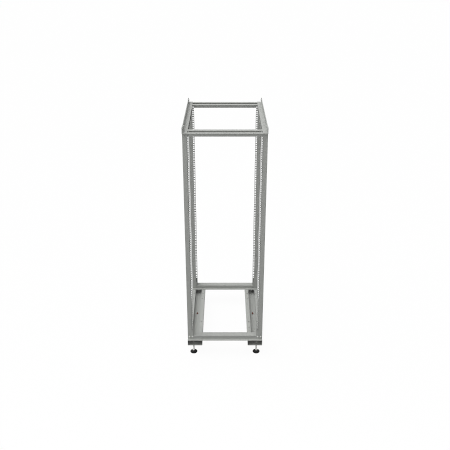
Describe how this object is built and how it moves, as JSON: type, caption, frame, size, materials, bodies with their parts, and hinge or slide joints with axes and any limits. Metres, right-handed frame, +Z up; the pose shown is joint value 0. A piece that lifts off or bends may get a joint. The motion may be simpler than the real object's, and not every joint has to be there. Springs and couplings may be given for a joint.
{
  "type": "four post open frame rack",
  "caption": "Open floor standing equipment rack: four holed channel posts, hat section cross members, top side members with raised lips, base channels and levelling feet.",
  "frame": {"origin": "on the floor under the middle of the rack", "axes": "+Z up, -Y towards the front, +X to the right seen from the front"},
  "size_m": [0.534, 0.8, 1.6744],
  "materials": {
    "paint": "satin",
    "dark_steel": "matt black",
    "pad_rubber": "moulded black plastic",
    "zinc": "zinc plated",
    "earth": "dull copper brown"
  },
  "bodies": {
    "root": {"post_front_right": "paint", "post_front_left": "paint", "post_rear_right": "paint", "post_rear_left": "paint", "bottom_member_front": "paint", "bottom_member_rear": "paint", "top_member_front": "paint", "top_member_rear": "paint", "side_member_right": "paint", "side_member_left": "paint", "side_angle_right": "paint", "side_angle_left": "paint", "base_channel_right": "paint", "base_channel_left": "paint", "lower_bracket_front_right": "paint", "lower_bracket_front_left": "paint", "lower_bracket_rear_right": "paint", "lower_bracket_rear_left": "paint", "upper_bracket_front_right": "paint", "upper_bracket_front_left": "paint", "upper_bracket_rear_right": "paint", "upper_bracket_rear_left": "paint", "foot_plate_front_right": "dark_steel", "foot_plate_front_left": "dark_steel", "foot_plate_rear_right": "dark_steel", "foot_plate_rear_left": "dark_steel", "foot_pad_front_right": "pad_rubber", "foot_pad_front_left": "pad_rubber", "foot_pad_rear_right": "pad_rubber", "foot_pad_rear_left": "pad_rubber", "foot_stud_front_right": "zinc", "foot_stud_front_left": "zinc", "foot_stud_rear_right": "zinc", "foot_stud_rear_left": "zinc", "lock_nut_front_right": "zinc", "lock_nut_front_left": "zinc", "lock_nut_rear_right": "zinc", "lock_nut_rear_left": "zinc", "earth_stud_right": "earth", "earth_stud_left": "earth"}
  },
  "joints": []
}
